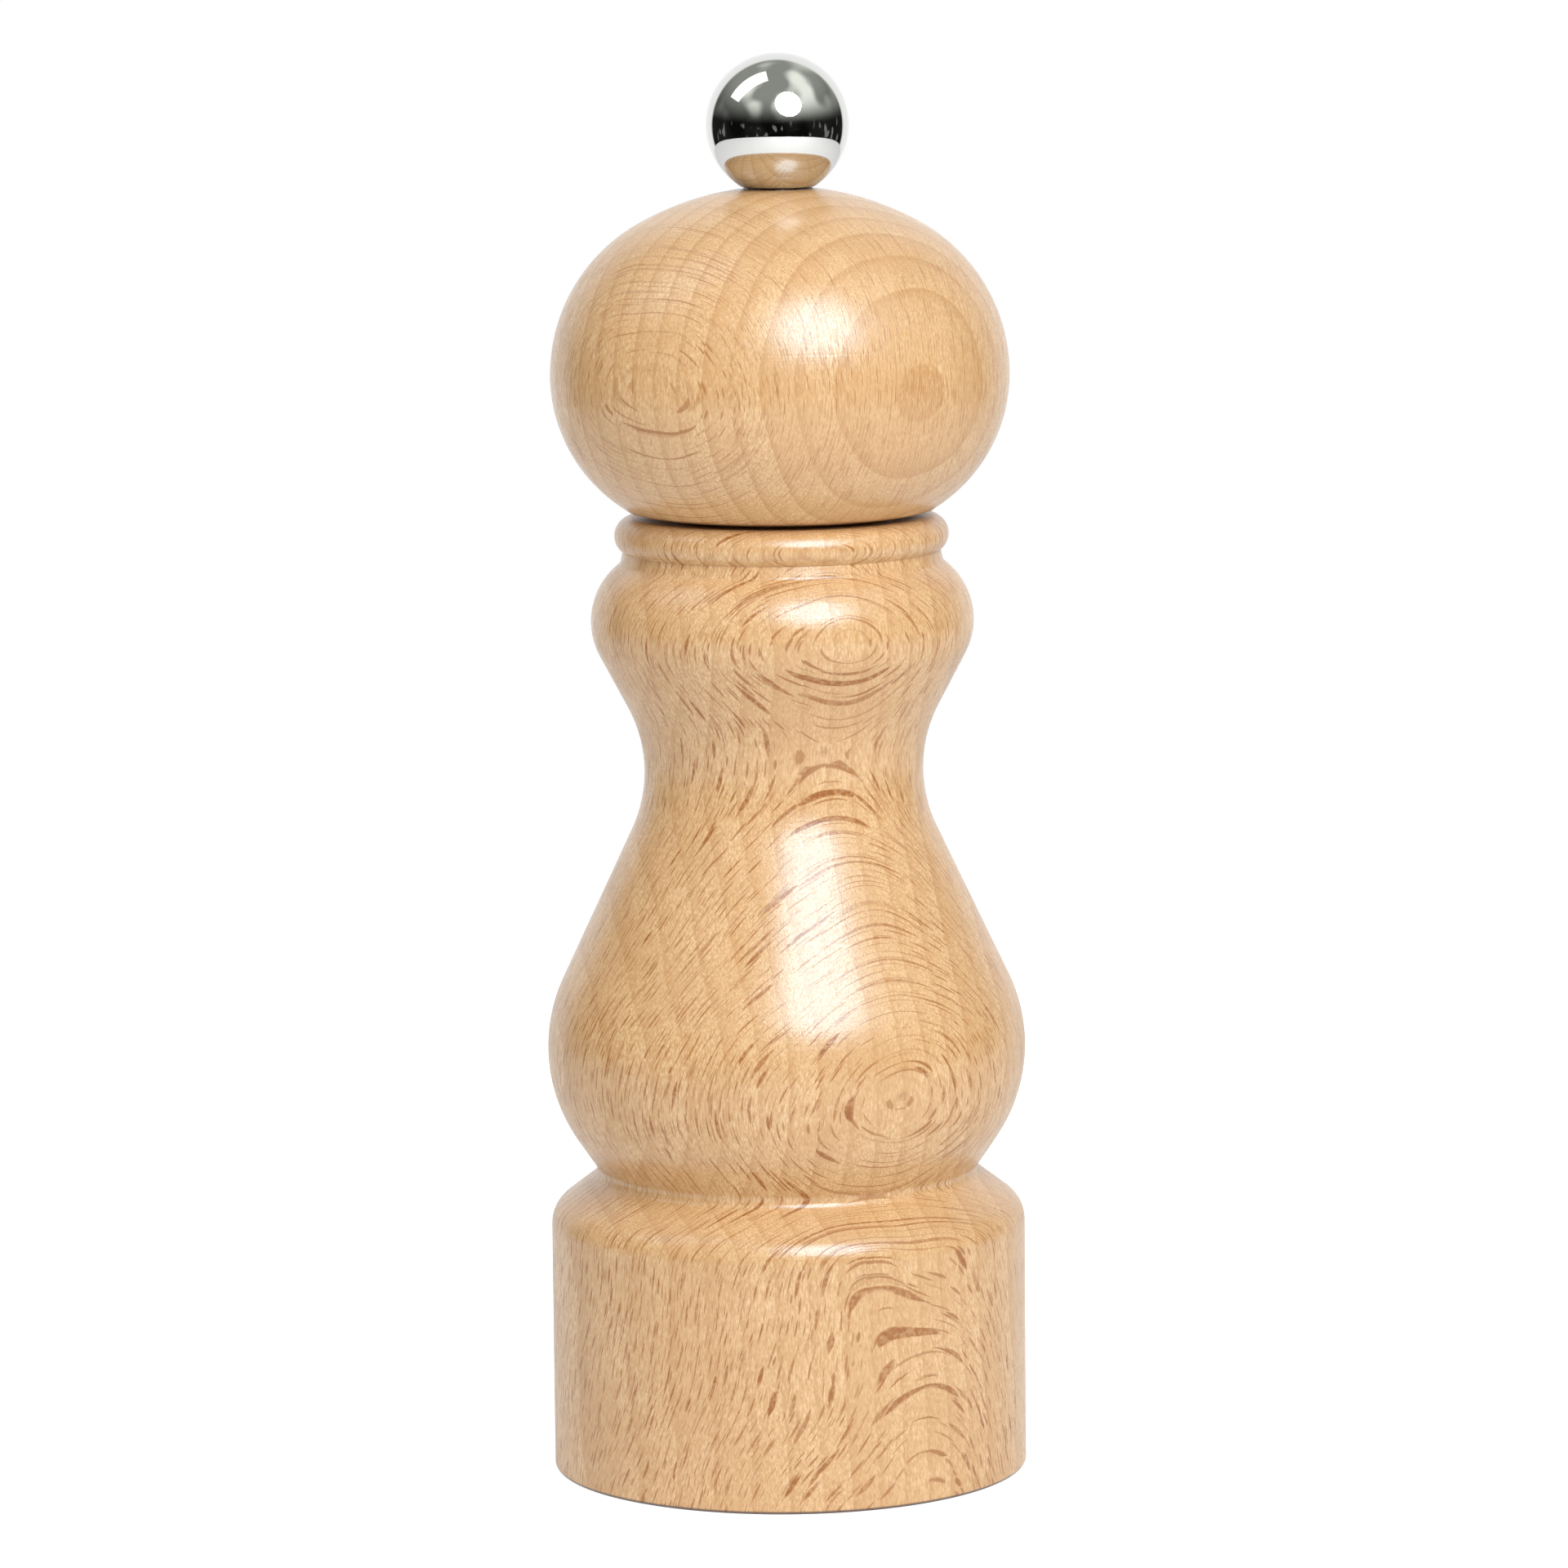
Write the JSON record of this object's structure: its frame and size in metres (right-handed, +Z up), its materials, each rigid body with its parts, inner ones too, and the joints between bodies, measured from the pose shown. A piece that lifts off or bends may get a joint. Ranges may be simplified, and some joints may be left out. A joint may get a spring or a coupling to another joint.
{
  "type": "pepper mill",
  "caption": "Turned wooden pepper mill: cylinder base, grooved bulge, narrow waist, beaded collar, domed head and small bright ball knob, with a shaft-driven steel burr mechanism.",
  "frame": {"origin": "centre of the foot, on the surface the mill stands on", "axes": "+Z up along the shaft; the object is turned about Z, and -Y faces the viewer"},
  "size_m": [0.0608, 0.0608, 0.18],
  "materials": {
    "beech_wood": "clear satin lacquer over turned beech",
    "polished_chrome": "mirror polished",
    "burr_steel": "case-hardened, dark grey",
    "bright_steel": "drawn, satin",
    "spring_steel": "drawn wire",
    "zinc_plated_steel": "bright zinc plate",
    "brass": "turned",
    "nylon": "matt"
  },
  "bodies": {
    "mill_body": {"body": "beech_wood", "base_plate": "zinc_plated_steel", "base_screws": "zinc_plated_steel", "outer_burr": "burr_steel", "bridge": "zinc_plated_steel", "bridge_rivets": "bright_steel"},
    "carrier": {"spring_seat": "zinc_plated_steel", "spring": "spring_steel"},
    "spindle": {"shaft": "bright_steel", "inner_burr": "burr_steel", "spring_washer": "zinc_plated_steel", "burr_washer": "zinc_plated_steel", "burr_nut": "zinc_plated_steel"},
    "mill_head": {"head": "beech_wood", "drive_plate": "zinc_plated_steel", "drive_plate_screws": "zinc_plated_steel", "knob_washer": "zinc_plated_steel"},
    "knob_assembly": {"knob": "polished_chrome", "knob_insert": "brass", "knob_lock_ring": "nylon"}
  },
  "joints": [
    {"name": "grind_turn", "type": "hinge", "parent": "mill_body", "child": "carrier", "pos_m": [0, 0, 0.0315], "axis": [0, 0, 1], "continuous": true},
    {"name": "head_lift", "type": "slide", "parent": "carrier", "child": "mill_head", "axis": [0, 0, 1], "range_m": [0, 0.07]},
    {"name": "knob_turn", "type": "hinge", "parent": "mill_head", "child": "knob_assembly", "pos_m": [0, 0, 0.171], "axis": [0, 0, 1], "range_deg": [-180, 540]},
    {"name": "grind_adjust", "type": "slide", "parent": "carrier", "child": "spindle", "axis": [0, 0, 1], "range_m": [-0.0013, 0.0005], "deforming": ["spring"]}
  ],
  "couplings": [
    {"joint": "grind_adjust", "follows": "knob_turn", "m_per_rad": -0.00012732}
  ]
}
